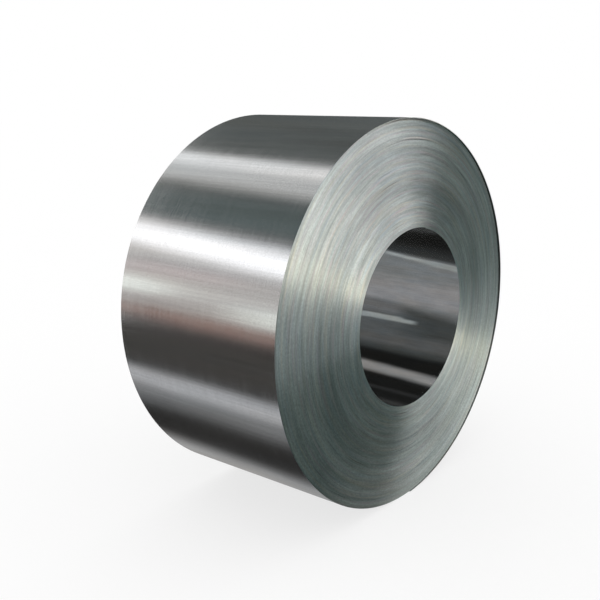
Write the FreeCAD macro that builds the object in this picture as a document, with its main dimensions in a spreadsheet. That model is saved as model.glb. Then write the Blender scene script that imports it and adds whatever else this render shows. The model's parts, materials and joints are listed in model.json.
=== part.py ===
import FreeCAD, Part
import math
import os

import Sketcher

# Elastic alloy strip, cold rolled and wound into one coil that lies on its side.
# The coil's axis runs along Y at one radius above the floor, which is Z = 0.
# The strip is wound clockwise and outwards, as seen from the front end at -Y.

# Sizes in millimetres, counts and degrees. Each one can be changed by itself.
DRIVING_SIZES = {
    # The mandrel that the strip was wound on.
    "bore_diameter": 508.0,
    # The strip itself.
    "strip_gauge": 2.0,
    "strip_width": 560.0,
    # How many turns lie on each other from the bore to the outer wrap.
    "turn_count": 150.0,
    # The turns don't lie quite flush on the ends. They wander together in groups.
    "turns_in_group": 10.0,
    # How far the bore's turns stand out past the outer ones, at the front end.
    "telescope": 22.0,
    # How far the groups wander to and fro, and how often, on the way outwards.
    "sway": 1.2,
    "sway_waves": 2.5,
    # Where the strip's inner end lies in the bore, from the front's right side.
    "head_angle": 78.0,
}

SHEET = "Sizes"
GROUP_COUNT = int(DRIVING_SIZES["turn_count"] // DRIVING_SIZES["turns_in_group"])

BORE_RADIUS = "(Sizes.bore_diameter / 2)"
OUTER_RADIUS = "(Sizes.bore_diameter / 2 + Sizes.turn_count * Sizes.strip_gauge)"

# The wrap under the strip's outer end leaves the round at a right angle to the
# step, so half of the flat's angle follows from the gauge and the outer radius.
TAIL_HALF_ANGLE = f"(acos(({OUTER_RADIUS} - Sizes.strip_gauge) / {OUTER_RADIUS}) / 2)"

# The second turn lifts off the first one along a tangent to pass over its end.
HEAD_LIFT_ANGLE = f"acos({BORE_RADIUS} / ({BORE_RADIUS} + Sizes.strip_gauge))"


def make_sheet(doc):
    """Write the driving sizes as plain numbers, one named cell each."""
    sheet = doc.addObject("Spreadsheet::Sheet", SHEET)
    for row, (name, value) in enumerate(DRIVING_SIZES.items(), start=1):
        sheet.set(f"A{row}", name)
        sheet.set(f"B{row}", str(value))
        sheet.setAlias(f"B{row}", name)
    doc.recompute()
    return sheet


def origin_plane(body, role):
    """Find one of the body's own origin planes."""
    for feature in body.Origin.OriginFeatures:
        if feature.Role == role:
            return feature
    raise ValueError(f"no plane {role} in {body.Name}")


def new_sketch(body, name, role):
    """Start a sketch on one of the body's origin planes."""
    sketch = body.newObject("Sketcher::SketchObject", name)
    sketch.AttachmentSupport = [(origin_plane(body, role), "")]
    sketch.MapMode = "FlatFace"
    return sketch


def draw_outline(sketch, corners):
    """Draw a closed outline whose corners stay at the given expressions.

    Each corner is (u, v, u_expression, v_expression): first a place to start
    from, in millimetres, and then what ties the corner to the sizes.
    """
    places = [FreeCAD.Vector(u, v, 0) for u, v, _, _ in corners]
    for start, end in zip(places, places[1:] + places[:1]):
        sketch.addGeometry(Part.LineSegment(start, end), False)
    count = len(corners)
    for index, (u, v, u_expression, v_expression) in enumerate(corners):
        before = (index - 1) % count
        sketch.addConstraint(Sketcher.Constraint("Coincident", before, 2, index, 1))
        for axis, place, expression in (("X", u, u_expression), ("Y", v, v_expression)):
            tie = Sketcher.Constraint(f"Distance{axis}", -1, 1, index, 1, place)
            number = sketch.addConstraint(tie)
            name = f"corner_{index}_{axis.lower()}"
            sketch.renameConstraint(number, name)
            sketch.setExpression(f"Constraints.{name}", expression)


def group_shift(group):
    """Return how far one group of turns lies towards +Y, and its expression.

    The shift is the same size and opposite in sign for the groups that are
    equally far from the middle one, so the coil stays centred on Y = 0.
    """
    spread = group / (GROUP_COUNT - 1) - 0.5
    sizes = DRIVING_SIZES
    wave = 360.0 * sizes["sway_waves"] * spread
    shift = sizes["telescope"] * spread + sizes["sway"] * math.sin(math.radians(wave))
    expression = (
        f"(Sizes.telescope * {spread:.9f}"
        f" + Sizes.sway * sin(360 deg * Sizes.sway_waves * {spread:.9f}))"
    )
    return shift, expression


def group_radius(group):
    """Return the inner radius of one group of turns, and its expression.

    One past the last group is the outer wrap, so the last group also takes
    the turns that are left over when the groups don't share them out evenly.
    """
    sizes = DRIVING_SIZES
    if group == GROUP_COUNT:
        turns = sizes["turn_count"]
        expression = OUTER_RADIUS
    else:
        turns = group * sizes["turns_in_group"]
        expression = f"({BORE_RADIUS} + {group} * Sizes.turns_in_group * Sizes.strip_gauge)"
    return sizes["bore_diameter"] / 2 + turns * sizes["strip_gauge"], expression


def end_corners(side):
    """List the corners of one end's steps, from the bore outwards.

    Side is -1 for the front end and +1 for the back end. Every group is as
    wide as the strip, so what stands out at one end is set back at the other.
    """
    corners = []
    for group in range(GROUP_COUNT):
        shift, shift_expression = group_shift(group)
        place = side * DRIVING_SIZES["strip_width"] / 2 + shift
        place_expression = f"{side} * Sizes.strip_width / 2 + {shift_expression}"
        for edge in (group, group + 1):
            radius, radius_expression = group_radius(edge)
            corners.append((place, radius, place_expression, radius_expression))
    return corners


def turn_the_coil(body):
    """Turn the wound turns about the coil's axis, with the bore left open."""
    section = new_sketch(body, "half_section", "YZ_Plane")
    front = end_corners(-1)
    back = end_corners(1)
    draw_outline(section, front + back[::-1])
    coil = body.newObject("PartDesign::Revolution", "wound_turns")
    coil.Profile = section
    coil.ReferenceAxis = (section, ["H_Axis"])
    coil.Angle = 360.0
    return coil


def cut_full_width(body, name, sketch):
    """Cut an outline right along the coil, past both of its ends."""
    cut = body.newObject("PartDesign::Pocket", name)
    cut.Profile = sketch
    cut.SideType = "Symmetric"
    cut.setExpression("Length", "2 * Sizes.strip_width")
    return cut


def polar_corner(radius, angle, radius_expression, angle_expression):
    """Return a corner of an outline from its radius and its angle in degrees."""
    u = radius * math.cos(math.radians(angle))
    v = radius * math.sin(math.radians(angle))
    u_expression = f"{radius_expression} * cos({angle_expression})"
    v_expression = f"{radius_expression} * sin({angle_expression})"
    return u, v, u_expression, v_expression


def cut_tail_lap(body):
    """Set the strip's outer end: a step of one gauge, with a flat beside it.

    The end lies under the coil, where the coil's weight keeps it down, and the
    step and the flat's far edge stand level on the floor.
    """
    sizes = DRIVING_SIZES
    gauge = sizes["strip_gauge"]
    radius = sizes["bore_diameter"] / 2 + sizes["turn_count"] * gauge
    half = math.degrees(math.acos((radius - gauge) / radius)) / 2
    step_angle = f"(270 deg + {TAIL_HALF_ANGLE})"
    flat_angle = f"(270 deg - {TAIL_HALF_ANGLE})"
    inside = f"({OUTER_RADIUS} - Sizes.strip_gauge)"
    outside = f"({OUTER_RADIUS} + 2 * Sizes.strip_gauge)"
    sketch = new_sketch(body, "tail_outline", "XZ_Plane")
    draw_outline(sketch, [
        polar_corner(radius - gauge, 270 + half, inside, step_angle),
        polar_corner(radius + 2 * gauge, 270 + half, outside, step_angle),
        polar_corner(radius, 270 - half, OUTER_RADIUS, flat_angle),
    ])
    return cut_full_width(body, "tail_lap", sketch)


def cut_head_lap(body):
    """Set the strip's inner end: the gap where the second turn passes over it."""
    sizes = DRIVING_SIZES
    gauge = sizes["strip_gauge"]
    radius = sizes["bore_diameter"] / 2
    head = sizes["head_angle"]
    lift = math.degrees(math.acos(radius / (radius + gauge)))
    head_angle = "(Sizes.head_angle * 1 deg)"
    lift_angle = f"({head_angle} + {HEAD_LIFT_ANGLE})"
    outside = f"({BORE_RADIUS} + Sizes.strip_gauge)"
    inside = f"({BORE_RADIUS} - Sizes.strip_gauge)"
    sketch = new_sketch(body, "head_outline", "XZ_Plane")
    draw_outline(sketch, [
        polar_corner(radius + gauge, head, outside, head_angle),
        polar_corner(radius, head + lift, BORE_RADIUS, lift_angle),
        polar_corner(radius - gauge, head, inside, head_angle),
    ])
    return cut_full_width(body, "head_lap", sketch)


def make_strip_coil(doc):
    """Build the coil as one solid and lay it on the floor."""
    body = doc.addObject("PartDesign::Body", "strip_coil")
    body.Label = "strip_coil"
    volumes = []
    for make in (turn_the_coil, cut_tail_lap, cut_head_lap):
        feature = make(body)
        doc.recompute()
        volumes.append(feature.Shape.Volume)
    if not volumes[0] > volumes[1] > volumes[2] > 0:
        raise ValueError(f"a lap removed nothing: {volumes}")
    body.setExpression("Placement.Base.z", f"{OUTER_RADIUS} * cos({TAIL_HALF_ANGLE})")
    doc.recompute()
    return body


def check_and_write(doc, bodies):
    """Check every object, then write each solid under its own name."""
    for item in doc.Objects:
        if "Invalid" in item.State or "Error" in item.State:
            raise ValueError(f"{item.Label} is {item.State}")
    os.makedirs("parts", exist_ok=True)
    for body in bodies:
        shape = body.Shape
        if shape.isNull() or not shape.isValid() or len(shape.Solids) != 1:
            raise ValueError(f"{body.Label} is not one valid solid")
        shape.exportStep(f"parts/{body.Label}.step")
        box = shape.BoundBox
        print(f"{body.Label}: {shape.Volume / 1e9:.5f} m3, {len(shape.Faces)} faces")
        print(f"  X {box.XMin:.2f} {box.XMax:.2f}  Y {box.YMin:.2f} {box.YMax:.2f}"
              f"  Z {box.ZMin:.2f} {box.ZMax:.2f}")


def main():
    doc = FreeCAD.newDocument("elastic_alloy_strip_coil")
    make_sheet(doc)
    coil = make_strip_coil(doc)
    check_and_write(doc, [coil])


main()
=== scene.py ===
# %% [markdown]
# # A coil of elastic alloy strip
#
# The object is one long strip of bright cold-rolled alloy, wound on a mandrel
# until it is over a metre across, and laid on its side. This notebook dresses
# the construction model: it loads the model as a fixed frame, winds the strip
# again with every turn showing, gives the rolled faces and the slit edges their
# finish, and lights them the way bright metal is lit in a studio.

# %% Load the frame
import json
import math
import random
from collections import namedtuple

import bmesh
import bpy
from mathutils import Matrix, Vector


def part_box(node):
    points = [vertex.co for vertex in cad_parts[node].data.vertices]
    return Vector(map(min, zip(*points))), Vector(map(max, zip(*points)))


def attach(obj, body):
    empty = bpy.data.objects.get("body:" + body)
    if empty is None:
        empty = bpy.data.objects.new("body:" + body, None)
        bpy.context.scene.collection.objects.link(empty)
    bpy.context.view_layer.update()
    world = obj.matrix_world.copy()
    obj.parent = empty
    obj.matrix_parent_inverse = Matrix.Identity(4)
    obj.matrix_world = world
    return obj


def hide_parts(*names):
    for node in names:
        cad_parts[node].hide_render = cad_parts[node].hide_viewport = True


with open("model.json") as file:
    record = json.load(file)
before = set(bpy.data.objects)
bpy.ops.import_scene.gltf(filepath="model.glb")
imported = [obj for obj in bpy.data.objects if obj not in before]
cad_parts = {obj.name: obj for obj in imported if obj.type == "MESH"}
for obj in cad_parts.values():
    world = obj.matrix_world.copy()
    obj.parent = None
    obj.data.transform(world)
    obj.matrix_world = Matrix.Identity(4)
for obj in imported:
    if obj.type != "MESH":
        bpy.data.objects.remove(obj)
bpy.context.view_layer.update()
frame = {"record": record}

# %% [markdown]
# ## The sizes that everything follows
#
# The frame gives the coil's box and its bore, so no size of the coil is typed
# twice. The coil stands on the step at the strip's outer end, so its axis is a
# little less than one radius above the floor. The record's bore mount says
# exactly where the axis is.

# %% Sizes from the frame
MM = 0.001
record = frame["record"]
bore_mount = next(mount for mount in record["mounts"] if mount["name"] == "bore")
low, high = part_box("strip_coil")
AXIS_Z = bore_mount["pos_m"][2]
OUTER_RADIUS = high[2] - AXIS_Z
BORE_RADIUS = bore_mount["dims"]["r_mm"] / 1000
STRIP_WIDTH = bore_mount["dims"]["length_mm"] / 1000
END_REACH = (high[1] - low[1] - STRIP_WIDTH) / 2
centre = Vector((0, 0, AXIS_Z))
print(f"outer radius {OUTER_RADIUS:.4f}, bore radius {BORE_RADIUS:.4f}, width {STRIP_WIDTH:.3f}")

# %% [markdown]
# ## How the strip is wound
#
# The inner end of the strip, its head, lies near the top of the bore. The outer
# end, its tail, is tucked under the coil, where the weight holds it down. The
# strip makes close to 150 turns between them, so the wall's thickness divided
# by the turns is the gauge. Angles run clockwise from the head, as seen from
# the front, because that is the way the strip runs outwards.

# %% Winding values
HEAD_ANGLE = math.radians(78)
TAIL_ANGLE = math.radians(272.4)
TAIL_TURN = (HEAD_ANGLE - TAIL_ANGLE) / math.tau + 1
LAYERS = 149
GAUGE = (OUTER_RADIUS - BORE_RADIUS) / (LAYERS + TAIL_TURN)
print(f"gauge {GAUGE / MM:.3f} mm, tail at {TAIL_TURN:.3f} of a turn past the head")

# %% [markdown]
# ## Where each turn lies along the axis
#
# A coil is never wound quite flush. The turns wander sideways together in a
# slow wave, and each one lies a hair in or out of the turn before it. A few
# stand out further, as where the strip was slit with a slight bend. The wave is
# a sine, and the hair is a seeded random number for each turn. It is read
# between two turns, so it never jumps along the strip.

# %% Side shift of each turn
SWAY = 0.6 * MM
SWAY_WAVES = 2.5
JITTER = 0.35 * MM
PROUD_TURNS = 0.09
PROUD_REACH = 4.0
TELESCOPE = 2 * (END_REACH - SWAY - JITTER)
draw = random.Random(11)
turn_jitter = []
for turn in range(LAYERS + 2):
    reach = PROUD_REACH if draw.random() < PROUD_TURNS else 1.0
    turn_jitter.append(reach * draw.uniform(-JITTER, JITTER))


def wound_shift(turns):
    """Return how far towards the back the strip was wound, after so many turns."""
    spread = turns / LAYERS - 0.5
    whole = min(int(turns), LAYERS)
    share = turns - whole
    jitter = turn_jitter[whole] * (1 - share) + turn_jitter[whole + 1] * share
    return TELESCOPE * spread + SWAY * math.sin(math.tau * SWAY_WAVES * spread) + jitter


print(f"shift {wound_shift(0) / MM:.2f} mm at the bore, {wound_shift(LAYERS) / MM:.2f} mm outside")

# %% [markdown]
# ## The loose last turn
#
# Nothing ties the outermost turn down, so it has crept forward a few
# millimetres since the coil was wound. It stands out most at the upper right,
# where it hangs free, and its inside shows there as a thin dark line along the
# rim. A groove cut behind the rim would darken it all the way round, so the
# turn itself is moved: eased in over its first part, and leaning on a cosine.

# %% Slide of the last turn
LOOSE_SLIDE = 7 * MM
LOOSEST = 0.20
LEAN_POWER = 1.25


def smooth_step(share):
    """Ease a share from 0 to 1, and hold it outside that range."""
    share = min(max(share, 0.0), 1.0)
    return share * share * (3 - 2 * share)


def side_shift(turns):
    """Return how far the strip lies towards the back after so many turns."""
    last_turn_starts = LAYERS - 2 + TAIL_TURN
    loose = smooth_step((turns - last_turn_starts) / (1 - TAIL_TURN))
    lean = 0.5 + 0.5 * math.cos(math.tau * (turns % 1.0 - LOOSEST))
    return wound_shift(turns) - LOOSE_SLIDE * loose * lean ** LEAN_POWER


loosest_turn = LAYERS - 1 + LOOSEST
slide = wound_shift(loosest_turn) - side_shift(loosest_turn)
print(f"the last turn has slid {slide / MM:.1f} mm at most")

# %% [markdown]
# ## Drawing the section
#
# A spin needs a section to turn. The section is drawn the way a pencil would:
# start with one vertex at the bore, and extrude it outwards, one short edge
# for each turn's slit edge. Two vertices lie at each border between turns,
# because the two turns need not be flush there. Each vertex remembers its turn
# in a number layer, which a spin copies along with the vertex.

# %% Draw the section by extruding vertices
bm = bmesh.new()
turn_layer = bm.verts.layers.float.new("turn")
outward = Vector((math.cos(HEAD_ANGLE), 0, math.sin(HEAD_ANGLE)))


def next_vertex(vertex, place, turn):
    """Extrude one vertex to a place, and note which turn it belongs to."""
    made = bmesh.ops.extrude_vert_indiv(bm, verts=[vertex])["verts"][0]
    made.co = place
    made[turn_layer] = turn
    return made


def draw_end(start, side):
    """Draw one end of the section outwards, from the bore to the outer wrap."""
    vertex = start
    for turn in range(LAYERS):
        for edge in (turn, turn + 1):
            if edge == 0:
                continue
            place = centre + outward * (BORE_RADIUS + edge * GAUGE)
            place.y = side * STRIP_WIDTH / 2
            vertex = next_vertex(vertex, place, turn)
    return vertex


front_start = bm.verts.new(centre + outward * BORE_RADIUS - Vector((0, STRIP_WIDTH / 2, 0)))
back_start = next_vertex(front_start, front_start.co + Vector((0, STRIP_WIDTH, 0)), 0)
front_end = draw_end(front_start, -1)
back_end = draw_end(back_start, 1)
bm.edges.new((front_end, back_end))
print("section:", len(bm.verts), "vertices,", len(bm.edges), "edges")

# %% [markdown]
# ## Winding it
#
# Three spins in a row carry the section once round: from the head to the tail,
# a sliver that is the tail's own cut edge, and the rest. A spiral could also be
# a Screw modifier on the section, but its turns would have no place for the
# tail's step, and each turn could not be shifted by itself. The spins share
# their last columns, so the section turns into rings of about 160 columns.

# %% Spin the section on, round the axis
COLUMNS_TO_TAIL = 74
COLUMNS_AFTER_TAIL = 86
TAIL_SLIVER = math.radians(0.02)


def spin_on(geometry, angle, steps):
    """Spin the section on and return where it ends."""
    turned = bmesh.ops.spin(
        bm, geom=geometry, cent=centre, axis=(0, 1, 0), angle=angle, steps=steps, use_merge=False
    )
    return turned["geom_last"]


section = list(bm.verts) + list(bm.edges)
at_tail = spin_on(section, TAIL_TURN * math.tau, COLUMNS_TO_TAIL)
past_tail = spin_on(at_tail, TAIL_SLIVER, 1)
last = spin_on(past_tail, (1 - TAIL_TURN) * math.tau - TAIL_SLIVER, COLUMNS_AFTER_TAIL)
last_vertices = {item for item in last if isinstance(item, bmesh.types.BMVert)}
print("spun:", len(bm.verts), "vertices,", len(bm.faces), "faces")

# %% [markdown]
# ## From rings to one spiral
#
# The spins leave every vertex at its plain radius. Moving each one outwards by
# its share of a gauge turns the rings into a spiral, whose last column meets
# the first exactly one turn further out. The outer corner of each slit edge is
# also set back a fifth of a millimetre, because a slitting knife rolls it over.
# Past the tail, the outermost ring drops to the turn below.

# %% Shear the rings into one spiral
ROLLOVER = 0.18 * MM
SAME_COLUMN = 1e-6


def turn_share(vertex):
    """Return how far round from the head a vertex lies, from 0 to 1."""
    if vertex in last_vertices:
        return 1.0
    angle = math.atan2(vertex.co.z - AXIS_Z, vertex.co.x)
    share = ((HEAD_ANGLE - angle) / math.tau) % 1.0
    return 0.0 if share > 1 - SAME_COLUMN else share


past_the_tail = TAIL_TURN + 0.5 * TAIL_SLIVER / math.tau
for vertex in bm.verts:
    share = turn_share(vertex)
    turn = vertex[turn_layer]
    direction = Vector((vertex.co.x, 0, vertex.co.z - AXIS_Z))
    radius = direction.length
    if turn == LAYERS - 1 and share > past_the_tail:
        radius = BORE_RADIUS + turn * GAUGE
        turn -= 1
    side = 1 if vertex.co.y > 0 else -1
    outer_corner = radius > BORE_RADIUS + (vertex[turn_layer] + 0.5) * GAUGE
    half_width = STRIP_WIDTH / 2 - (ROLLOVER if outer_corner else 0)
    vertex.co = centre + direction.normalized() * (radius + GAUGE * share)
    vertex.co.y = side * half_width + side_shift(turn + share)
print("wound into a spiral of", LAYERS, "full turns")

# %% [markdown]
# ## Closing the seam
#
# The first and last columns now touch, so merging doubles joins them. The only
# hole left is the strip's own cut head, a narrow face as long as the strip is
# wide. With the mesh closed, its normals can be turned outwards in one call.

# %% Merge and close
MERGE_WITHIN = 0.005 * MM
bmesh.ops.remove_doubles(bm, verts=bm.verts, dist=MERGE_WITHIN)
open_edges = [edge for edge in bm.edges if edge.is_boundary]
bmesh.ops.edgeloop_fill(bm, edges=open_edges)
bmesh.ops.recalc_face_normals(bm, faces=bm.faces)
open_left = sum(1 for edge in bm.edges if not edge.is_manifold)
triangles = sum(len(face.verts) - 2 for face in bm.faces)
print("closed:", len(bm.faces), "faces,", triangles, "triangles,", open_left, "open edges")

# %% [markdown]
# ## Which faces are which
#
# A strip has two kinds of surface: the rolled faces, and the edges that the
# slitting knives cut. A face's normal tells them apart, for a slit edge faces
# along the axis. The third kind is the rolled face's inside where the loose
# turn bares it, which gets a painted shade. Where two faces meet at
# more than 35 degrees, the edge between them is marked sharp.

# %% Sort the faces and mark the sharp edges
ROLLED, SLIT, PAINTED_SHADE = 0, 1, 2
SHARP = math.radians(35)
FACES_ALONG_AXIS = 0.7
RIM_STARTS = OUTER_RADIUS - 3 * GAUGE
for face in bm.faces:
    face.smooth = True
    middle = face.calc_center_median() - centre
    middle.y = 0
    if abs(face.normal.y) > FACES_ALONG_AXIS:
        face.material_index = SLIT
    elif face.normal.dot(middle) < 0 and middle.length > RIM_STARTS:
        # the loose turn's bared inside gets the painted shade material
        face.material_index = PAINTED_SHADE
for edge in bm.edges:
    edge.smooth = edge.is_manifold and edge.calc_face_angle(0) < SHARP
for kind, name in ((ROLLED, "rolled"), (SLIT, "slit"), (PAINTED_SHADE, "painted_shade")):
    print(name, "faces:", sum(1 for face in bm.faces if face.material_index == kind))

# %% [markdown]
# ## From a mesh in the making to an object
#
# A bmesh is only a workbench. Its result goes into a mesh, and the mesh into an
# object that stays at the origin, unturned and unscaled, with its place in its
# own vertices. The patterns below rely on that.

# %% Make the coil's object
def new_object(name, made):
    """Put a finished bmesh into the scene as an object of its own."""
    data = bpy.data.meshes.new(name)
    made.to_mesh(data)
    made.free()
    item = bpy.data.objects.new(name, data)
    bpy.context.scene.collection.objects.link(item)
    return item


coil = new_object("wound_strip", bm)
print("coil:", len(coil.data.vertices), "vertices")

# %% [markdown]
# ## Small helpers for node materials
#
# Every finish below is a handful of nodes. They could be laid out by hand in
# the shader editor, but a reader here would not see them. These helpers add one
# node each and join it up, so that a finish reads like a recipe: a number or a
# socket may be given for any input.

# %% Helpers for a material and its inputs
def new_material(name):
    """Make an empty node material and return it with its node tree."""
    material = bpy.data.materials.new(name)
    material.use_nodes = True
    material.node_tree.nodes.clear()
    return material, material.node_tree


def feed(tree, socket, value):
    """Link a socket, or set a number or a colour, on an input."""
    if isinstance(value, bpy.types.NodeSocket):
        tree.links.new(value, socket)
    elif isinstance(value, tuple) and socket.type == "RGBA":
        socket.default_value = (*value, 1.0)
    else:
        socket.default_value = value


print("helpers for a material and its inputs ready")

# %% [markdown]
# ## Sums at every point
#
# A pattern that runs round the coil needs sums: how far is this point from the
# axis, and which way does it lie? Math and Vector Math nodes do such sums at
# every point of the surface. The sums could be baked into a second set of UV
# coordinates, but nodes follow any later change of the coil by themselves.

# %% Helpers for numbers and vectors
def maths(tree, operation, first, second=0.0):
    """Add one Math node."""
    node = tree.nodes.new("ShaderNodeMath")
    node.operation = operation
    feed(tree, node.inputs[0], first)
    feed(tree, node.inputs[1], second)
    return node.outputs[0]


def vector_maths(tree, operation, *values):
    """Add one Vector Math node, and return its number or its vector."""
    node = tree.nodes.new("ShaderNodeVectorMath")
    node.operation = operation
    for socket, value in zip(node.inputs, values):
        feed(tree, socket, value)
    return node.outputs["Value" if operation == "LENGTH" else "Vector"]


def joined(tree, x, y, z):
    """Join three numbers into one vector."""
    node = tree.nodes.new("ShaderNodeCombineXYZ")
    for socket, value in zip(node.inputs, (x, y, z)):
        feed(tree, socket, value)
    return node.outputs[0]


def parted(tree, vector):
    """Part a vector into its three numbers."""
    node = tree.nodes.new("ShaderNodeSeparateXYZ")
    tree.links.new(vector, node.inputs[0])
    return node.outputs


print("helpers for numbers and vectors ready")

# %% [markdown]
# ## Noise, ranges and mixes
#
# Real metal and real cloth are never even, and a Noise Texture gives them their
# unevenness. Its values crowd round a half and seldom leave the span from 0.3
# to 0.7. So nearly every use eases that span into the range that a finish
# needs. A Color Ramp could do that as well, but Map Range takes sockets too.

# %% Helpers for patterns
NOISE_SPAN = (0.3, 0.7)
WIDE_NOISE_SPAN = (0.25, 0.75)


def noise(tree, place, scale, detail, roughness):
    """Add a Noise Texture read at a place, about 0.5 on average."""
    node = tree.nodes.new("ShaderNodeTexNoise")
    feed(tree, node.inputs["Vector"], place)
    node.inputs["Scale"].default_value = scale
    node.inputs["Detail"].default_value = detail
    node.inputs["Roughness"].default_value = roughness
    return node.outputs["Fac"]


def eased(tree, value, start, end, low=0.0, high=1.0):
    """Ease a value from low to high while it runs from start to end."""
    node = tree.nodes.new("ShaderNodeMapRange")
    node.interpolation_type = "SMOOTHSTEP"
    numbers = {"Value": value, "From Min": start, "From Max": end, "To Min": low, "To Max": high}
    for name, number in numbers.items():
        feed(tree, node.inputs[name], number)
    return node.outputs["Result"]


def blended(tree, share, first, second):
    """Mix two colours by a share."""
    node = tree.nodes.new("ShaderNodeMix")
    node.data_type = "RGBA"
    feed(tree, node.inputs["Factor"], share)
    feed(tree, node.inputs["A"], first)
    feed(tree, node.inputs["B"], second)
    return node.outputs["Result"]


print("noise is eased from", NOISE_SPAN, "or", WIDE_NOISE_SPAN)

# %% [markdown]
# ## Coordinates that follow the winding
#
# Everything on a coil runs round its axis: the rolling grain, the polish marks
# and the slit edges. A noise read at plain coordinates would cut straight
# across them, and one read at an angle would have a seam. So the noise is read
# at the direction from the axis, which comes round without a seam, plus the
# radius or the distance along the axis, on a much finer scale. That stretches
# the pattern round the coil, the way the metal itself was drawn out.
#
# A Pattern says how fine such a noise is across the lines and round the coil,
# and how far apart it lies from other patterns, so that no two look alike.

# %% Coil coordinates
CoilPlace = namedtuple("CoilPlace", "outwards radius along height")
Pattern = namedtuple("Pattern", "fine_across fine_round detail roughness apart", defaults=(0.0,))


def coil_place(tree):
    """Return the direction from the axis, the radius, the place along it, and Z."""
    place = tree.nodes.new("ShaderNodeTexCoord").outputs["Object"]
    centred = tree.nodes.new("ShaderNodeMapping")
    centred.inputs["Location"].default_value = (0, 0, -AXIS_Z)
    tree.links.new(place, centred.inputs["Vector"])
    flat = vector_maths(tree, "MULTIPLY", centred.outputs[0], (1, 0, 1))
    outwards = vector_maths(tree, "NORMALIZE", flat)
    radius = vector_maths(tree, "LENGTH", flat)
    _, along, height = parted(tree, place)
    return CoilPlace(outwards, radius, along, height)


def drawn_noise(tree, here, across, pattern):
    """Read a noise that is fine across the strip's lines and drawn out along them."""
    fine = maths(tree, "MULTIPLY", across, pattern.fine_across)
    offset = joined(tree, pattern.apart, fine, 0.0)
    place = vector_maths(tree, "MULTIPLY_ADD", here.outwards, (pattern.fine_round,) * 3, offset)
    return noise(tree, place, 1.0, pattern.detail, pattern.roughness)


print("coil coordinates ready")

# %% [markdown]
# ## Metal with a grain
#
# Fine lines in metal spread its shine across themselves: a brushed pan shows a
# bow-tie of light, and a rolled sheet a streak. Modelling every scratch would
# take millions of faces, and a bump map of them turns to noise from a metre
# away. The Principled shader has an Anisotropic value for this, which spreads
# the shine along its Tangent. So the Tangent is the direction across the grain.

# %% Metal helpers
def bumped(tree, height, distance, under=None):
    """Add a Bump node of so many metres, on top of another one."""
    node = tree.nodes.new("ShaderNodeBump")
    node.inputs["Distance"].default_value = distance
    tree.links.new(height, node.inputs["Height"])
    if under is not None:
        tree.links.new(under, node.inputs["Normal"])
    return node.outputs["Normal"]


def metal(tree, colour, roughness, grain, across_grain, normal):
    """Add a metal whose shine spreads across its grain."""
    shader = tree.nodes.new("ShaderNodeBsdfPrincipled")
    shader.inputs["Metallic"].default_value = 1.0
    shader.inputs["Anisotropic"].default_value = grain
    feed(tree, shader.inputs["Base Color"], colour)
    feed(tree, shader.inputs["Roughness"], roughness)
    tree.links.new(across_grain, shader.inputs["Tangent"])
    tree.links.new(normal, shader.inputs["Normal"])
    output = tree.nodes.new("ShaderNodeOutputMaterial")
    tree.links.new(shader.outputs[0], output.inputs["Surface"])


print("metal helpers ready")

# %% [markdown]
# ## The rolled face
#
# The outer wrap and the bore show the strip's rolled face. Polished rolls leave
# it nearly a mirror, with hairlines along the strip, faint marks across it
# where the mill shook, and long shallow waves where the turns below press
# through. A picture of scratched metal could be wrapped round it, but it would
# repeat and blur close by, and noises do neither. So the roughness and a
# twenty-micron bump follow a very fine noise, the shade follows specks and
# cross marks, and the waves are a soft bump below.

# %% Patterns on the rolled face
HAIRLINES = Pattern(300.0, 3.0, detail=3.0, roughness=0.6)
WAVES = Pattern(5.0, 5.0, detail=1.0, roughness=0.4)
PATCHES = Pattern(3.0, 2.5, detail=2.0, roughness=0.5)
SPECKS = Pattern(300.0, 170.0, detail=2.0, roughness=0.6)
CROSS_MARKS = Pattern(1.5, 70.0, detail=3.0, roughness=0.6)
print(f"hairlines {1 / HAIRLINES.fine_across / MM:.1f} mm apart")

# %% Rolled face material
ROLLED_GRAIN = 0.4
ROLLED_ROUGHNESS = (0.15, 0.21)
MIRROR_BRIGHT = (0.70, 0.71, 0.705)
MIRROR_WARM = (0.76, 0.75, 0.745)
SPECK_SHADES = (0.93, 1.07)
MARK_SHADES = (0.96, 1.04)
HAIRLINE_DEPTH = 0.02 * MM
WAVE_DEPTH = 0.5 * MM


def rolled_face():
    """Make the near-mirror finish of the wrap and the bore."""
    material, tree = new_material("rolled_face")
    here = coil_place(tree)
    hairlines = drawn_noise(tree, here, here.along, HAIRLINES)
    waves = drawn_noise(tree, here, here.along, WAVES)
    patches = drawn_noise(tree, here, here.along, PATCHES)
    specks = drawn_noise(tree, here, here.along, SPECKS)
    cross_marks = drawn_noise(tree, here, here.along, CROSS_MARKS)
    speckled = eased(tree, specks, *WIDE_NOISE_SPAN, *SPECK_SHADES)
    marked = eased(tree, cross_marks, *NOISE_SPAN, *MARK_SHADES)
    shade = maths(tree, "MULTIPLY", speckled, marked)
    tint = blended(tree, patches, MIRROR_BRIGHT, MIRROR_WARM)
    colour = vector_maths(tree, "MULTIPLY", tint, joined(tree, shade, shade, shade))
    roughness = eased(tree, hairlines, *NOISE_SPAN, *ROLLED_ROUGHNESS)
    normal = bumped(tree, hairlines, HAIRLINE_DEPTH, bumped(tree, waves, WAVE_DEPTH))
    metal(tree, colour, roughness, ROLLED_GRAIN, joined(tree, 0.0, 1.0, 0.0), normal)
    return material


coil.data.materials.append(rolled_face())
print("slot", ROLLED, "is", coil.data.materials[ROLLED].name)

# %% [markdown]
# ## The slit edges
#
# The ends are the strip's two slit edges, wound 150 turns deep. Each turn took
# its own tint from the slitting oil and the light: steel grey-green, and here
# and there cream, rose or blue. A colour could be stored on each turn's own
# faces, but it would change in hard rings. So the turns are real geometry, and
# the colour changes from one to the next through noises that are fine across
# the radius and long round the coil.

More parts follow.
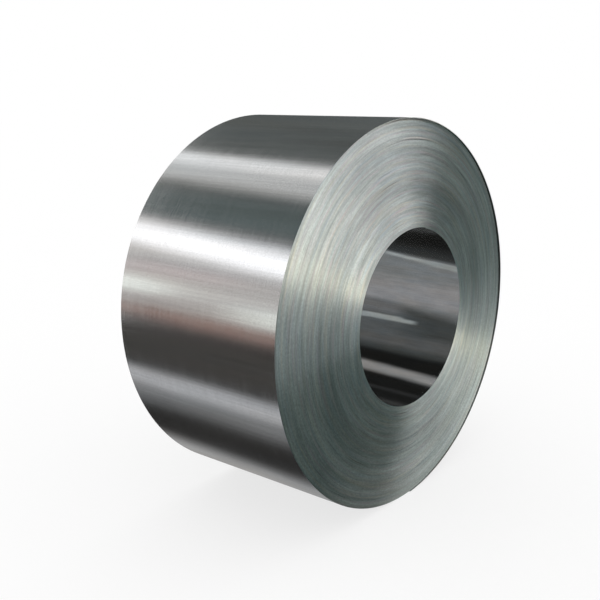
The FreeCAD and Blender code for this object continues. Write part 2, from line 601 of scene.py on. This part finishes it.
# %% Colours of the slit edges
EDGE_DARK = (0.405, 0.45, 0.435)
EDGE_BRIGHT = (0.88, 0.935, 0.91)
EDGE_BANDS = Pattern(48.0, 1.1, detail=6.0, roughness=0.82, apart=7.0)
BAND_SPAN = (0.27, 0.73)
TINT_SPAN = (0.46, 0.74)
EdgeTint = namedtuple("EdgeTint", "name colour most pattern")
EDGE_TINTS = (
    EdgeTint("cream", (0.83, 0.77, 0.65), 0.60, Pattern(110.0, 1.6, 4.0, 0.7, apart=20.0)),
    EdgeTint("rose", (0.73, 0.645, 0.67), 0.70, Pattern(130.0, 2.4, 4.0, 0.7, apart=60.0)),
    EdgeTint("cool blue", (0.56, 0.645, 0.69), 0.65, Pattern(90.0, 1.8, 4.0, 0.7, apart=40.0)),
)


def edge_colour(tree, here):
    """Return the slit edges' own colour, turn by turn."""
    bands = drawn_noise(tree, here, here.radius, EDGE_BANDS)
    colour = blended(tree, eased(tree, bands, *BAND_SPAN), EDGE_DARK, EDGE_BRIGHT)
    for tint in EDGE_TINTS:
        spots = drawn_noise(tree, here, here.radius, tint.pattern)
        share = eased(tree, spots, *TINT_SPAN, 0.0, tint.most)
        colour = blended(tree, share, colour, tint.colour)
    return colour


print("tints of the slit edges:", ", ".join(tint.name for tint in EDGE_TINTS))

# %% [markdown]
# ## Painted shade and grit
#
# The lower part of the ends is painted darker, a painted shade that fades out
# upwards, and grit sticks to the edges, most of all low down.
# Grit is the one pattern on the ends that isn't drawn out round the coil, so it
# breaks up the long streaks. Loose grains could be scattered as geometry, but
# each one would be smaller than a pixel, so they are a shade.

# %% Painted shade and grit on the slit edges
SHADE_AND_GRIT_HEIGHTS = (0.15, 0.95)
# painted shade: the slit edges get darker towards the bottom
LOW_SHADE_TINT = (0.724, 0.755, 0.7425)
GRIT = Pattern(260.0, 80.0, detail=2.0, roughness=0.6, apart=130.0)
GRIT_LOW_DOWN = 0.8
GRIT_HIGH_UP = 0.4
PLAIN = (1.0, 1.0, 1.0)


def painted_low_shade(tree, here):
    """Return the painted shade, darker towards the bottom, which fades out upwards."""
    return blended(tree, eased(tree, here.height, *SHADE_AND_GRIT_HEIGHTS), LOW_SHADE_TINT, PLAIN)


def gritty_shade(tree, here):
    """Return a grey that is broken up by grit, most of all low down."""
    grit = maths(tree, "SUBTRACT", drawn_noise(tree, here, here.radius, GRIT), 0.5)
    stuck = eased(tree, here.height, *SHADE_AND_GRIT_HEIGHTS, GRIT_LOW_DOWN, GRIT_HIGH_UP)
    shade = maths(tree, "ADD", maths(tree, "MULTIPLY", grit, stuck), 1.0)
    return joined(tree, shade, shade, shade)


# prints the heights where the painted shade fades out
print("the oil fades out between", SHADE_AND_GRIT_HEIGHTS, "m above the floor")

# %% [markdown]
# ## A darker ring and painted shade in the gaps
#
# A ring halfway up the wall is painted a little darker, where the sheen dips. Here
# and there a turn lies deeper than its neighbours, and shows as a thin line of
# shade. The deepest of those gaps are in the geometry. The many shallow ones
# could be too, but they would need several times as many faces, so their shade
# is painted, with a noise of which only the highest peaks are let through.

# %% Darker ring and painted gap shade on the slit edges
DARKER_RING_FROM = (0.315, 0.375)
DARKER_RING_TO = (0.385, 0.445)
# the ring is painted darker: a painted dip in the sheen
DARKER_RING_TINT = (0.90, 0.90, 0.90)
GAP_LINES = Pattern(330.0, 2.2, detail=2.0, roughness=0.5, apart=90.0)
GAP_SPAN = (0.66, 0.72)
# painted shade in the shallow gaps between turns
GAP_SHADE_TINT = (0.60, 0.56, 0.54)


def darker_sheen_ring(tree, here):
    """Return the tint of the ring halfway up the wall, painted darker where the sheen dips."""
    inside = eased(tree, here.radius, *DARKER_RING_FROM)
    outside = eased(tree, here.radius, *DARKER_RING_TO, low=1.0, high=0.0)
    return blended(tree, maths(tree, "MULTIPLY", inside, outside), PLAIN, DARKER_RING_TINT)


def painted_gap_shade(tree, here):
    """Return the painted shade in the thin gaps between the turns."""
    lines = drawn_noise(tree, here, here.radius, GAP_LINES)
    return blended(tree, eased(tree, lines, *GAP_SPAN), PLAIN, GAP_SHADE_TINT)


# prints where the painted darker ring lies
print("handled between radius", DARKER_RING_FROM[0], "and", DARKER_RING_TO[1])

# %% [markdown]
# ## The satin of the ends
#
# A slit edge is sheared, not rolled, so it is satin where the face is a mirror.
# A glossy metal under a strong bump would glitter instead. So the metal itself
# is rough, with its full grain along the turns, which gives the bow-tie of
# light round the bore, and a shallow bump breaks that into streaks. The layers
# of painted shade, a darker ring and grit are multiplied on one by one.

# %% Slit edge material
EDGE_GRAIN = 1.0
EDGE_ROUGHNESS = (0.555, 0.625)
EDGE_STREAKS = Pattern(280.0, 1.3, detail=4.0, roughness=0.75)
EDGE_DEPTH = 0.21 * MM


def slit_edges():
    """Make the satin finish of the two ends."""
    material, tree = new_material("slit_edges")
    here = coil_place(tree)
    colour = edge_colour(tree, here)
    # painted shade low down and in the gaps, a painted darker ring, and grit
    for layer in (painted_low_shade, darker_sheen_ring, painted_gap_shade, gritty_shade):
        colour = vector_maths(tree, "MULTIPLY", colour, layer(tree, here))
    streaks = drawn_noise(tree, here, here.radius, EDGE_STREAKS)
    roughness = eased(tree, streaks, *NOISE_SPAN, *EDGE_ROUGHNESS)
    metal(tree, colour, roughness, EDGE_GRAIN, here.outwards, bumped(tree, streaks, EDGE_DEPTH))
    return material


coil.data.materials.append(slit_edges())
print("slot", SLIT, "is", coil.data.materials[SLIT].name)

# %% [markdown]
# ## The painted shade inside the loose turn
#
# Behind the rim, the last turn bares a few millimetres of the rolled face's
# inside. No light gets in there, so its shade is painted: it is the same
# metal with a nearly black colour, which stays dark under any light, where a
# plain mirror would catch the backdrop and vanish.

# %% Painted shade gap material
# painted shade: a nearly black colour where the loose turn bares its inside
GAP_SHADE_DARK = (0.10, 0.10, 0.095)
GAP_SHADE_PALE = (0.18, 0.18, 0.175)
GAP_SHADE_ROUGHNESS = 0.35


def painted_shade_gap():
    """Make the painted shade of the rolled face inside the loose turn, a nearly black metal."""
    material, tree = new_material("painted_shade_gap")
    here = coil_place(tree)
    hairlines = drawn_noise(tree, here, here.along, HAIRLINES)
    colour = blended(tree, hairlines, GAP_SHADE_DARK, GAP_SHADE_PALE)
    across = joined(tree, 0.0, 1.0, 0.0)
    metal(tree, colour, GAP_SHADE_ROUGHNESS, ROLLED_GRAIN, across, bumped(tree, hairlines, HAIRLINE_DEPTH))
    return material


coil.data.materials.append(painted_shade_gap())
print("slot", PAINTED_SHADE, "is", coil.data.materials[PAINTED_SHADE].name)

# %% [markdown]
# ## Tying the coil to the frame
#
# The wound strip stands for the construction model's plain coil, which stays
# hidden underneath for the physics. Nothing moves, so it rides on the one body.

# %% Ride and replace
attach(coil, "root")
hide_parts("strip_coil")
print("the wound strip replaces strip_coil")

# %% [markdown]
# ## A studio for bright metal
#
# Bright metal has hardly any look of its own: what we see in it is the room. A
# photographer hangs cloth and long strip boxes round it, so that the metal
# shows a few clean bands. Area lamps could do that here, but each would add
# light to the floor and its edge would be hard. So the cloths are meshes that
# glow, seen by reflections alone, and the even white world does the lighting.
#
# A panel is one band on a cloth: where it starts and ends, how softly, its
# colour, how much it leans along the axis, and how far along it reaches.

# %% Panels on a cloth
Panel = namedtuple("Panel", "name start end fade_in fade_out colour lean reach", defaults=(0.0, None))


def panel_share(tree, panel, value, away, along):
    """Return how strongly a panel shows at a place, from 0 to 1."""
    leant = maths(tree, "ADD", value, maths(tree, "MULTIPLY", away, panel.lean))
    half_in = panel.fade_in / 2
    half_out = panel.fade_out / 2
    risen = eased(tree, leant, panel.start - half_in, panel.start + half_in)
    fallen = eased(tree, leant, panel.end - half_out, panel.end + half_out, low=1.0, high=0.0)
    share = maths(tree, "MULTIPLY", risen, fallen)
    if panel.reach:
        share = maths(tree, "MULTIPLY", share, eased(tree, along, *panel.reach))
    return share


print("panels ready")

# %% [markdown]
# ## The cloth itself
#
# No cloth is lit quite evenly. A slow noise makes the panels' edges wander,
# another varies the glow along them, and a third warms or cools the hue by a
# few percent. The noises are stretched along the axis, like folds that hang
# down the whole length of the tent.

# %% Cloth material
FOLD_STRETCH = (1.0, 0.15, 1.0)
COOLER = (0.975, 1.0, 1.025)
WARMER = (1.025, 1.0, 0.975)
FINENESS = 6.0
WANDER_FINENESS = 1 / 3
HUE_FINENESS = 0.8
LIFE = 0.2


def cloth_material(name, measure, panels, plain, middle=0.0, fineness=FINENESS, life=LIFE):
    """Make a glowing cloth with panels, laid out by what measure gives."""
    material, tree = new_material(name)
    place = tree.nodes.new("ShaderNodeTexCoord").outputs["Object"]
    parts = parted(tree, place)
    folds = vector_maths(tree, "MULTIPLY", place, FOLD_STRETCH)
    wander = noise(tree, folds, fineness * WANDER_FINENESS, detail=3.0, roughness=0.6)
    value = measure(tree, parts, maths(tree, "SUBTRACT", wander, 0.5))
    away = maths(tree, "SUBTRACT", parts["Y"], middle)
    colour = plain
    for panel in panels:
        share = panel_share(tree, panel, value, away, parts["Y"])
        colour = blended(tree, share, colour, panel.colour)
    hues = noise(tree, folds, fineness * HUE_FINENESS, detail=2.0, roughness=0.5)
    hue = blended(tree, eased(tree, hues, *NOISE_SPAN), COOLER, WARMER)
    streaks = noise(tree, folds, fineness, detail=4.0, roughness=0.65)
    strength = eased(tree, streaks, *WIDE_NOISE_SPAN, 1 - life, 1 + life)
    glow = tree.nodes.new("ShaderNodeEmission")
    feed(tree, glow.inputs["Color"], vector_maths(tree, "MULTIPLY", colour, hue))
    feed(tree, glow.inputs["Strength"], strength)
    output = tree.nodes.new("ShaderNodeOutputMaterial")
    tree.links.new(glow.outputs[0], output.inputs["Surface"])
    material.cycles.emission_sampling = "NONE"
    return material


print(f"a cloth's glow varies by {LIFE:.0%} each way")

# %% [markdown]
# ## Hanging the cloths
#
# The cloths light nothing and cast no shadow. They could have a render layer of
# their own, but ray visibility does it in place: it is switched off for
# everything but reflections.

# %% Hang a cloth
def hang(name, made, material):
    """Put a cloth where only reflections see it."""
    item = new_object(name, made)
    item.data.materials.append(material)
    item.visible_camera = False
    item.visible_diffuse = False
    item.visible_shadow = False
    item.visible_transmission = False
    print(name, "hangs, with", len(item.data.polygons), "faces")


print("cloths are seen by reflections only")

# %% [markdown]
# ## Cloths that curve round the coil
#
# A cloth that bows round the coil is one straight line, spun about the coil's
# axis. A line along the axis gives a tube, one across it a flat ring, and a
# sloping one a cone. The panels on it are laid out by the angle round the axis.

# %% Spin a cloth and measure round it
FULL_ROUND = 360
ROUND_STEPS = 96


def swept(start, end, sweep=FULL_ROUND, steps=ROUND_STEPS):
    """Spin the line between two places round the coil's axis."""
    made = bmesh.new()
    line = [made.verts.new(start), made.verts.new(end)]
    line.append(made.edges.new(line))
    bmesh.ops.spin(made, geom=line, cent=centre, axis=(0, -1, 0),
                   angle=math.radians(sweep), steps=steps, use_merge=False)
    return made


def arch(radius, first, sweep, front, back, steps):
    """Spin a line that lies along the axis into part of a tube round it."""
    angle = math.radians(first)
    x = radius * math.cos(angle)
    z = AXIS_Z + radius * math.sin(angle)
    return swept((x, front, z), (x, back, z), sweep, steps)


def turned_degrees(tree, sideways, upwards):
    """Return the angle whose sine and cosine go as two numbers, in degrees."""
    return maths(tree, "MULTIPLY", maths(tree, "ARCTAN2", sideways, upwards), math.degrees(1))


print("a round cloth has", ROUND_STEPS, "steps of", FULL_ROUND / ROUND_STEPS, "degrees")

# %% [markdown]
# ## The tent over the wrap
#
# The wrap shows, from the top down: a dark cloth, a soft high strip box, a
# greenish dark, the hard white side strip box, then a warm lit cloth with two
# brighter patches and a brown edge, and a low dark. A cylinder mirrors a bow of
# the room twice as wide as its own arc, so the panels are laid out by the angle
# from overhead on a half tube of two metres' radius.

# %% Tent cloth
TENT_RADIUS = 2.0
TENT_FIRST = -16
TENT_SWEEP = 212
TENT_STEPS = 106
TENT_FRONT = -0.5
TENT_BACK = 2.4
TENT_MIDDLE = 1.55
TENT_RAGGED = 4.0
TENT_PLAIN = (0.105, 0.115, 0.113)
TENT_PANELS = (
    Panel("high strip box", -1.0, 10, 7, 9, (1.05, 1.05, 1.05), lean=5.5),
    Panel("spill of the high box", 10, 20, 8, 9, (0.56, 0.57, 0.57), lean=5.5),
    Panel("greenish cloth", 26, 50, 10, 8, (0.090, 0.115, 0.116), lean=3),
    Panel("lit cloth", 60, 94, 6, 8, (0.565, 0.54, 0.52)),
    Panel("duller cloth", 82.5, 95, 3, 8, (0.455, 0.43, 0.42)),
    Panel("brown edge", 92, 100.5, 4, 8, (0.27, 0.185, 0.165)),
    Panel("dip by the box", 66, 72, 5, 6, (0.44, 0.43, 0.425), lean=3),
    Panel("spill of the side box", 43.5, 56, 5, 6, (0.165, 0.175, 0.178), lean=4),
    Panel("side strip box", 50, 62.5, 11, 7, (1.52, 1.52, 1.55), lean=6),
    Panel("pink smear", 69, 74, 4, 4, (0.56, 0.50, 0.505), reach=(1.2, 1.4)),
    Panel("left patch", 77.5, 84.5, 4, 4, (1.15, 1.22, 1.17), reach=(1.6, 1.95)),
    Panel("right patch", 81.5, 91, 3, 6, (0.93, 0.98, 0.945), reach=(1.35, 1.15)),
    Panel("low dark cloth", 99.5, 120, 6, 1, (0.055, 0.052, 0.05)),
    Panel("strip box on the other side", -64, -50, 9, 7, (0.95, 0.95, 0.97), reach=(0.75, 0.45)),
    Panel("lit cloth on the other side", -100, -72, 8, 8, (0.36, 0.35, 0.34), reach=(0.75, 0.45)),
)


def from_overhead(tree, parts, wander):
    """Measure degrees from straight overhead, more towards -X."""
    height = maths(tree, "SUBTRACT", parts["Z"], AXIS_Z)
    degrees = turned_degrees(tree, maths(tree, "MULTIPLY", parts["X"], -1.0), height)
    return maths(tree, "ADD", degrees, maths(tree, "MULTIPLY", wander, TENT_RAGGED))


tent = arch(TENT_RADIUS, TENT_FIRST, TENT_SWEEP, TENT_FRONT, TENT_BACK, TENT_STEPS)
hang("tent", tent, cloth_material("tent_cloth", from_overhead, TENT_PANELS, TENT_PLAIN, TENT_MIDDLE))

# %% [markdown]
# ## The flag in front of the tent
#
# Seen from behind, the wrap mirrors what is in front of the coil, and that is
# where the bright boxes for the coil's end will hang. A photographer keeps such
# a lamp off one surface with a flag. This one is a flat ring of cloth round the
# rim of the front end. Nothing that leaves the end itself meets it, and the
# wrap sees softer boxes on it instead.

# %% Flag cloth
FLAG_PLACE = wound_shift(LAYERS) - STRIP_WIDTH / 2 + 0.5 * MM
FLAG_HOLE = OUTER_RADIUS + 2 * MM
FLAG_PANELS = (
    Panel("left strip box", 44, 56, 9, 7, (1.30, 1.30, 1.33)),
    Panel("left lit cloth", 62, 92, 6, 8, (0.50, 0.48, 0.465)),
    Panel("left low cloth", 97, 150, 6, 6, (0.055, 0.052, 0.05)),
    Panel("top strip box", -2, 9, 7, 9, (0.90, 0.90, 0.90)),
    Panel("right strip box", -60, -48, 8, 8, (1.10, 1.10, 1.12)),
    Panel("right lit cloth", -100, -70, 8, 8, (0.36, 0.35, 0.34)),
)
flag = swept((FLAG_HOLE, FLAG_PLACE, AXIS_Z), (TENT_RADIUS, FLAG_PLACE, AXIS_Z))
hang("flag", flag, cloth_material("flag_cloth", from_overhead, FLAG_PANELS, TENT_PLAIN))

# %% [markdown]
# ## The cloth on the floor beside the wrap
#
# The wrap's underside mirrors what lies on the floor: a pale strip some way
# off, dark between, and pale paper close to the coil. It is a flat sheet just
# above the floor, with its panels laid out across the coil.

# %% Ground cloth
SHEET_HEIGHT = 4 * MM
SHEETS_MEET = -0.36
GROUND_HALF = 5
GROUND_RAGGED = 0.03
GROUND_PLAIN = (0.03, 0.03, 0.03)
GROUND_PANELS = (
    Panel("far dark cloth", -5.0, -1.05, 0.1, 0.1, (0.06, 0.058, 0.055)),
    Panel("spill of the pale strip", -0.85, -0.60, 0.1, 0.18, (0.22, 0.225, 0.23)),
    Panel("pale strip", -0.925, -0.745, 0.14, 0.10, (0.50, 0.51, 0.53)),
    Panel("pale cloth by the coil", -0.345, 0.35, 0.13, 0.13, (0.37, 0.37, 0.37)),
    Panel("pale strip on the other side", 1.1, 1.7, 0.3, 0.3, (0.50, 0.51, 0.53)),
    Panel("grey cloth on the other side", 1.7, 5.0, 0.3, 0.3, (0.26, 0.265, 0.27)),
)


def across_the_coil(tree, parts, wander):
    """Measure metres across the coil."""
    return maths(tree, "ADD", parts["X"], maths(tree, "MULTIPLY", wander, GROUND_RAGGED))


def floor_sheet(x_low, x_high, y_low, y_high):
    """Lay a sheet just above the floor."""
    made = bmesh.new()
    corners = ((x_low, y_low), (x_high, y_low), (x_high, y_high), (x_low, y_high))
    made.faces.new([made.verts.new((x, y, SHEET_HEIGHT)) for x, y in corners])
    return made


ground_cloth = cloth_material("ground_cloth", across_the_coil, GROUND_PANELS, GROUND_PLAIN)
hang("ground_cloth", floor_sheet(-GROUND_HALF, GROUND_HALF, SHEETS_MEET, TENT_BACK), ground_cloth)

# %% [markdown]
# ## The cloth on the floor before the end
#
# The lower half of the end mirrors the floor in front of it. It is a plain grey
# cloth, paler far off on the left, which lifts the end's left and right sides.

# %% Front cloth
FRONT_HALF = 9
LEFT_SIDE = (-0.5, 0.5)
FRONT_PLAIN = (0.173, 0.21, 0.208)
FRONT_PANELS = (
    Panel("far left cloth", 1.6, 20, 1.0, 1, (0.46, 0.505, 0.525)),
)


def from_the_foot(tree, parts, wander):
    """Measure metres from the coil's foot, on the left side only."""
    away = vector_maths(tree, "LENGTH", joined(tree, parts["X"], parts["Y"], 0.0))
    left = eased(tree, parts["X"], *LEFT_SIDE, low=1.0, high=0.0)
    return maths(tree, "MULTIPLY", away, left)


front_cloth = cloth_material("front_cloth", from_the_foot, FRONT_PANELS, FRONT_PLAIN)
hang("front_cloth", floor_sheet(-FRONT_HALF, FRONT_HALF, -FRONT_HALF, SHEETS_MEET), front_cloth)

# %% [markdown]
# ## The dome in front of the end
#
# The slit edges run in rings, so a lamp shows in them as a bow-tie: two bright
# fans on opposite sides of the bore. Which fan a lamp lights depends on its
# angle about the direction that the flat end mirrors towards the viewer. So the
# boxes on this dome are laid out by that angle, and only away from the
# direction itself, because there a lamp would light the whole end at once.

# %% Dome cloth
SEEN_FROM = (0.807, 0.531, -0.259)
DOME_RADIUS = 8.0
DOME_STARTS = -0.45
DOME_NEAR = (0.65, 0.85)
CALM_LIFE = 0.05
DOME_PLAIN = (0.29, 0.31, 0.30)
DOME_PANELS = (
    Panel("high box", 62.5, 100, 7, 6, (6.2, 6.05, 6.2)),
    Panel("high box's dimmer side", 87, 106, 8, 8, (3.45, 3.35, 3.4)),
    Panel("middle box", 103, 128, 6, 6, (1.67, 1.64, 1.67)),
    Panel("low box", 127, 162, 5, 6, (2.23, 2.19, 2.14)),
    Panel("cool fading edge", 160, 182, 4, 1, (0.50, 0.55, 0.58)),
    Panel("warm strip", 151, 157.5, 4, 3, (3.45, 3.2, 2.65)),
)


def round_the_mirror_way(tree, parts, wander):
    """Measure degrees round the direction that the end mirrors to the viewer."""
    height = maths(tree, "SUBTRACT", parts["Z"], AXIS_Z)
    way = vector_maths(tree, "NORMALIZE", joined(tree, parts["X"], parts["Y"], height))
    x, y, z = parted(tree, vector_maths(tree, "SUBTRACT", way, SEEN_FROM))
    across = vector_maths(tree, "LENGTH", joined(tree, x, 0.0, z))
    tilt = maths(tree, "DIVIDE", across, maths(tree, "MULTIPLY", y, -1.0))
    return maths(tree, "MULTIPLY", turned_degrees(tree, z, x), eased(tree, tilt, *DOME_NEAR))


dome = bmesh.new()
bmesh.ops.create_uvsphere(dome, u_segments=ROUND_STEPS, v_segments=ROUND_STEPS // 2,
                          radius=DOME_RADIUS, matrix=Matrix.Translation(centre))
behind = [vertex for vertex in dome.verts if vertex.co.y > DOME_STARTS]
bmesh.ops.delete(dome, geom=behind, context="VERTS")
dome_cloth = cloth_material("dome_cloth", round_the_mirror_way, DOME_PANELS, DOME_PLAIN, life=CALM_LIFE)
hang("dome", dome, dome_cloth)

# %% [markdown]
# ## The sleeve in the bore
#
# A bright bore mirrors itself over and over, and the room comes in at both
# ends, broken into bands that lean with the wall. Left to itself it would show
# only the white world behind the coil. So a sleeve of dark cloth hangs a few
# millimetres inside the wall, with the bands on it: grey, dim, a short broken
# strip, a pale strip above, and a strip low down. Rays from the camera pass
# through it and see the real wall, whose reflection is then the sleeve.

# %% Sleeve cloth
SLEEVE_RADIUS = BORE_RADIUS - 9 * MM
SLEEVE_FRONT = -0.292
SLEEVE_BACK = 0.268
SLEEVE_STEPS = 120
SLEEVE_MIDDLE = -0.15
SLEEVE_RAGGED = 3.0
SLEEVE_PLAIN = (0.0115, 0.0120, 0.0115)
SLEEVE_PANELS = (
    Panel("lifted dark", 20, 34, 4, 22, (0.050, 0.054, 0.055), lean=-20),
    Panel("dim cloth", -44.5, -5, 6, 8, (0.060, 0.066, 0.066)),
    Panel("grey cloth", -12, 27.5, 9, 5, (0.215, 0.228, 0.235), lean=-20),
    Panel("bright middle", -9, 7, 7, 10, (0.298, 0.298, 0.305)),
    Panel("pale strip", 24.0, 26.6, 1.6, 1.8, (0.40, 0.43, 0.43), lean=-24, reach=(0.02, -0.06)),
    Panel("pale strip's end", 22.4, 26.0, 2.0, 1.8, (0.33, 0.36, 0.36), lean=-24, reach=(-0.10, -0.22)),
    Panel("lighter dim cloth", -40, -31, 5, 6, (0.105, 0.108, 0.108)),
    Panel("deep dim cloth", -34, -15.5, 6, 5, (0.105, 0.115, 0.12), reach=(-0.2, 0.0)),
    Panel("fading grey", -17.5, -9.5, 4, 5, (0.16, 0.165, 0.17), reach=(-0.12, -0.04)),
    Panel("short strip", -21.6, -19.2, 1.5, 1.5, (0.35, 0.38, 0.38), reach=(-0.10, -0.06)),
    Panel("short strip's end", -22.7, -20.3, 1.5, 1.5, (0.33, 0.36, 0.36), reach=(-0.155, -0.115)),
    Panel("low strip", -63.5, -56.3, 5.0, 4.5, (0.29, 0.29, 0.288), lean=-8),
    Panel("lowest strip", -79, -76, 2, 2, (0.030, 0.031, 0.031)),
    Panel("other side's dim cloth", 110, 158, 20, 6, (0.040, 0.044, 0.044)),
    Panel("other side's grey cloth", 158, 200, 9, 1, (0.215, 0.228, 0.235)),
    Panel("grey cloth's lower part", -200, -168, 1, 8, (0.215, 0.228, 0.235)),
    Panel("other side's pale strip", 150, 153, 1.6, 1.8, (0.36, 0.39, 0.39), lean=14, reach=(0.0, -0.06)),
    Panel("other side's low strip", -124, -117, 5, 4.5, (0.29, 0.29, 0.288), lean=8),
)


def round_the_bore(tree, parts, wander):
    """Measure degrees round the bore from +X, more upwards."""
    height = maths(tree, "SUBTRACT", parts["Z"], AXIS_Z)
    degrees = turned_degrees(tree, height, parts["X"])
    return maths(tree, "ADD", degrees, maths(tree, "MULTIPLY", wander, SLEEVE_RAGGED))


sleeve = arch(SLEEVE_RADIUS, 0, FULL_ROUND, SLEEVE_FRONT, SLEEVE_BACK, SLEEVE_STEPS)
sleeve_cloth = cloth_material(
    "sleeve_cloth", round_the_bore, SLEEVE_PANELS, SLEEVE_PLAIN, SLEEVE_MIDDLE, fineness=70.0, life=0.12
)
hang("sleeve", sleeve, sleeve_cloth)

# %% [markdown]
# ## The hood behind the coil
#
# The coil's back end needs its fan of light too, or it looks like grey card
# from behind. Boxes out in the room would also show in the wrap. So they are on
# a hood, a cone of cloth no wider than the coil, right behind it. Only the end
# itself sees into that, because whatever leaves the wrap moves away from the
# axis.

# %% Hood cloth
HOOD_RADIUS = OUTER_RADIUS - 2 * MM
HOOD_STARTS = high[1] + 1 * MM
HOOD_ENDS = 1.5
HOOD_TIP = 10 * MM
HOOD_PLAIN = (0.17, 0.185, 0.18)
HOOD_PANELS = (
    Panel("broad box", 114, 162, 24, 22, (2.15, 2.1, 2.05)),
    Panel("narrow box", 70, 96, 18, 16, (1.15, 1.12, 1.15)),
    Panel("low grey cloth", -160, -20, 20, 20, (0.24, 0.255, 0.25)),
)
hood = swept((HOOD_RADIUS, HOOD_STARTS, AXIS_Z), (HOOD_TIP, HOOD_ENDS, AXIS_Z))
hang("hood", hood, cloth_material("hood_cloth", round_the_bore, HOOD_PANELS, HOOD_PLAIN, life=CALM_LIFE))

# %% [markdown]
# ## The white floor
#
# The coil lies on seamless white paper. More light would make the paper white,
# but it would wash out the metal too. So the camera and the reflections see a
# paper that glows a little, and only the rest is paint, which keeps the coil's
# soft shadow.

# %% Floor
FLOOR_HALF = 30
FLOOR_PAINT = (0.8, 0.8, 0.8)
FLOOR_GLOW = 0.7


def floor_paper():
    """Make paper that is white to the camera and pale to the light."""
    material, tree = new_material("floor_paper")
    path = tree.nodes.new("ShaderNodeLightPath")
    seen = maths(tree, "MAXIMUM", path.outputs["Is Camera Ray"], path.outputs["Is Glossy Ray"])
    seen = maths(tree, "MAXIMUM", seen, path.outputs["Is Transmission Ray"])
    paint = tree.nodes.new("ShaderNodeBsdfDiffuse")
    feed(tree, paint.inputs["Color"], blended(tree, seen, FLOOR_PAINT, PLAIN))
    glow = tree.nodes.new("ShaderNodeEmission")
    mix = tree.nodes.new("ShaderNodeMixShader")
    feed(tree, mix.inputs[0], maths(tree, "MULTIPLY", seen, FLOOR_GLOW))
    tree.links.new(paint.outputs[0], mix.inputs[1])
    tree.links.new(glow.outputs[0], mix.inputs[2])
    output = tree.nodes.new("ShaderNodeOutputMaterial")
    tree.links.new(mix.outputs[0], output.inputs["Surface"])
    material.cycles.emission_sampling = "NONE"
    return material


paper = bmesh.new()
bmesh.ops.create_grid(paper, x_segments=1, y_segments=1, size=FLOOR_HALF)
floor = new_object("floor", paper)
floor.data.materials.append(floor_paper())
print("floor:", 2 * FLOOR_HALF, "metres square")

# %% [markdown]
# ## The light
#
# One even white world lights everything, at the strength where a colour comes
# out about as it is written. A sun or a lamp would put a hard glint on the
# metal and a hard shadow on the paper, and neither is wanted here. Everything
# that gives the metal its shape is on the cloths above.

# %% World
world = bpy.data.worlds.new("studio")
world.use_nodes = True
sky = world.node_tree.nodes["Background"]
sky.inputs["Color"].default_value = (1, 1, 1, 1)
sky.inputs["Strength"].default_value = 1.0
bpy.context.scene.world = world
bpy.context.scene.view_settings.view_transform = "Standard"
print("world strength:", sky.inputs["Strength"].default_value)

# %% [markdown]
# ## The camera
#
# The photograph looks at the coil from its front left and a little from above.
# Its eye point, turn and lens were found by matching the outlines of the two
# ends and the bore. The lens is written in pixels, since the photograph is
# measured in them, and the small sideways shift is how the picture was cropped.

# %% Camera
CAMERA_PLACE = Vector((-1.8997, -1.5310, 1.1641))
CAMERA_YAW = math.radians(53.74)
CAMERA_PITCH = math.radians(13.867)
IMAGE_SIDE = 600
LENS_PIXELS = 829.5
CROP_PIXELS = -70
camera_data = bpy.data.cameras.new("camera")
camera_data.sensor_width = 36
camera_data.lens = LENS_PIXELS / IMAGE_SIDE * camera_data.sensor_width
camera_data.shift_x = CROP_PIXELS / IMAGE_SIDE
camera = bpy.data.objects.new("camera", camera_data)
camera.location = CAMERA_PLACE
camera.rotation_euler = (math.pi / 2 - CAMERA_PITCH, 0, -CAMERA_YAW)
bpy.context.scene.collection.objects.link(camera)
bpy.context.scene.camera = camera
print(f"camera {(CAMERA_PLACE - centre).length:.2f} m from the coil, lens {camera_data.lens:.1f} mm")
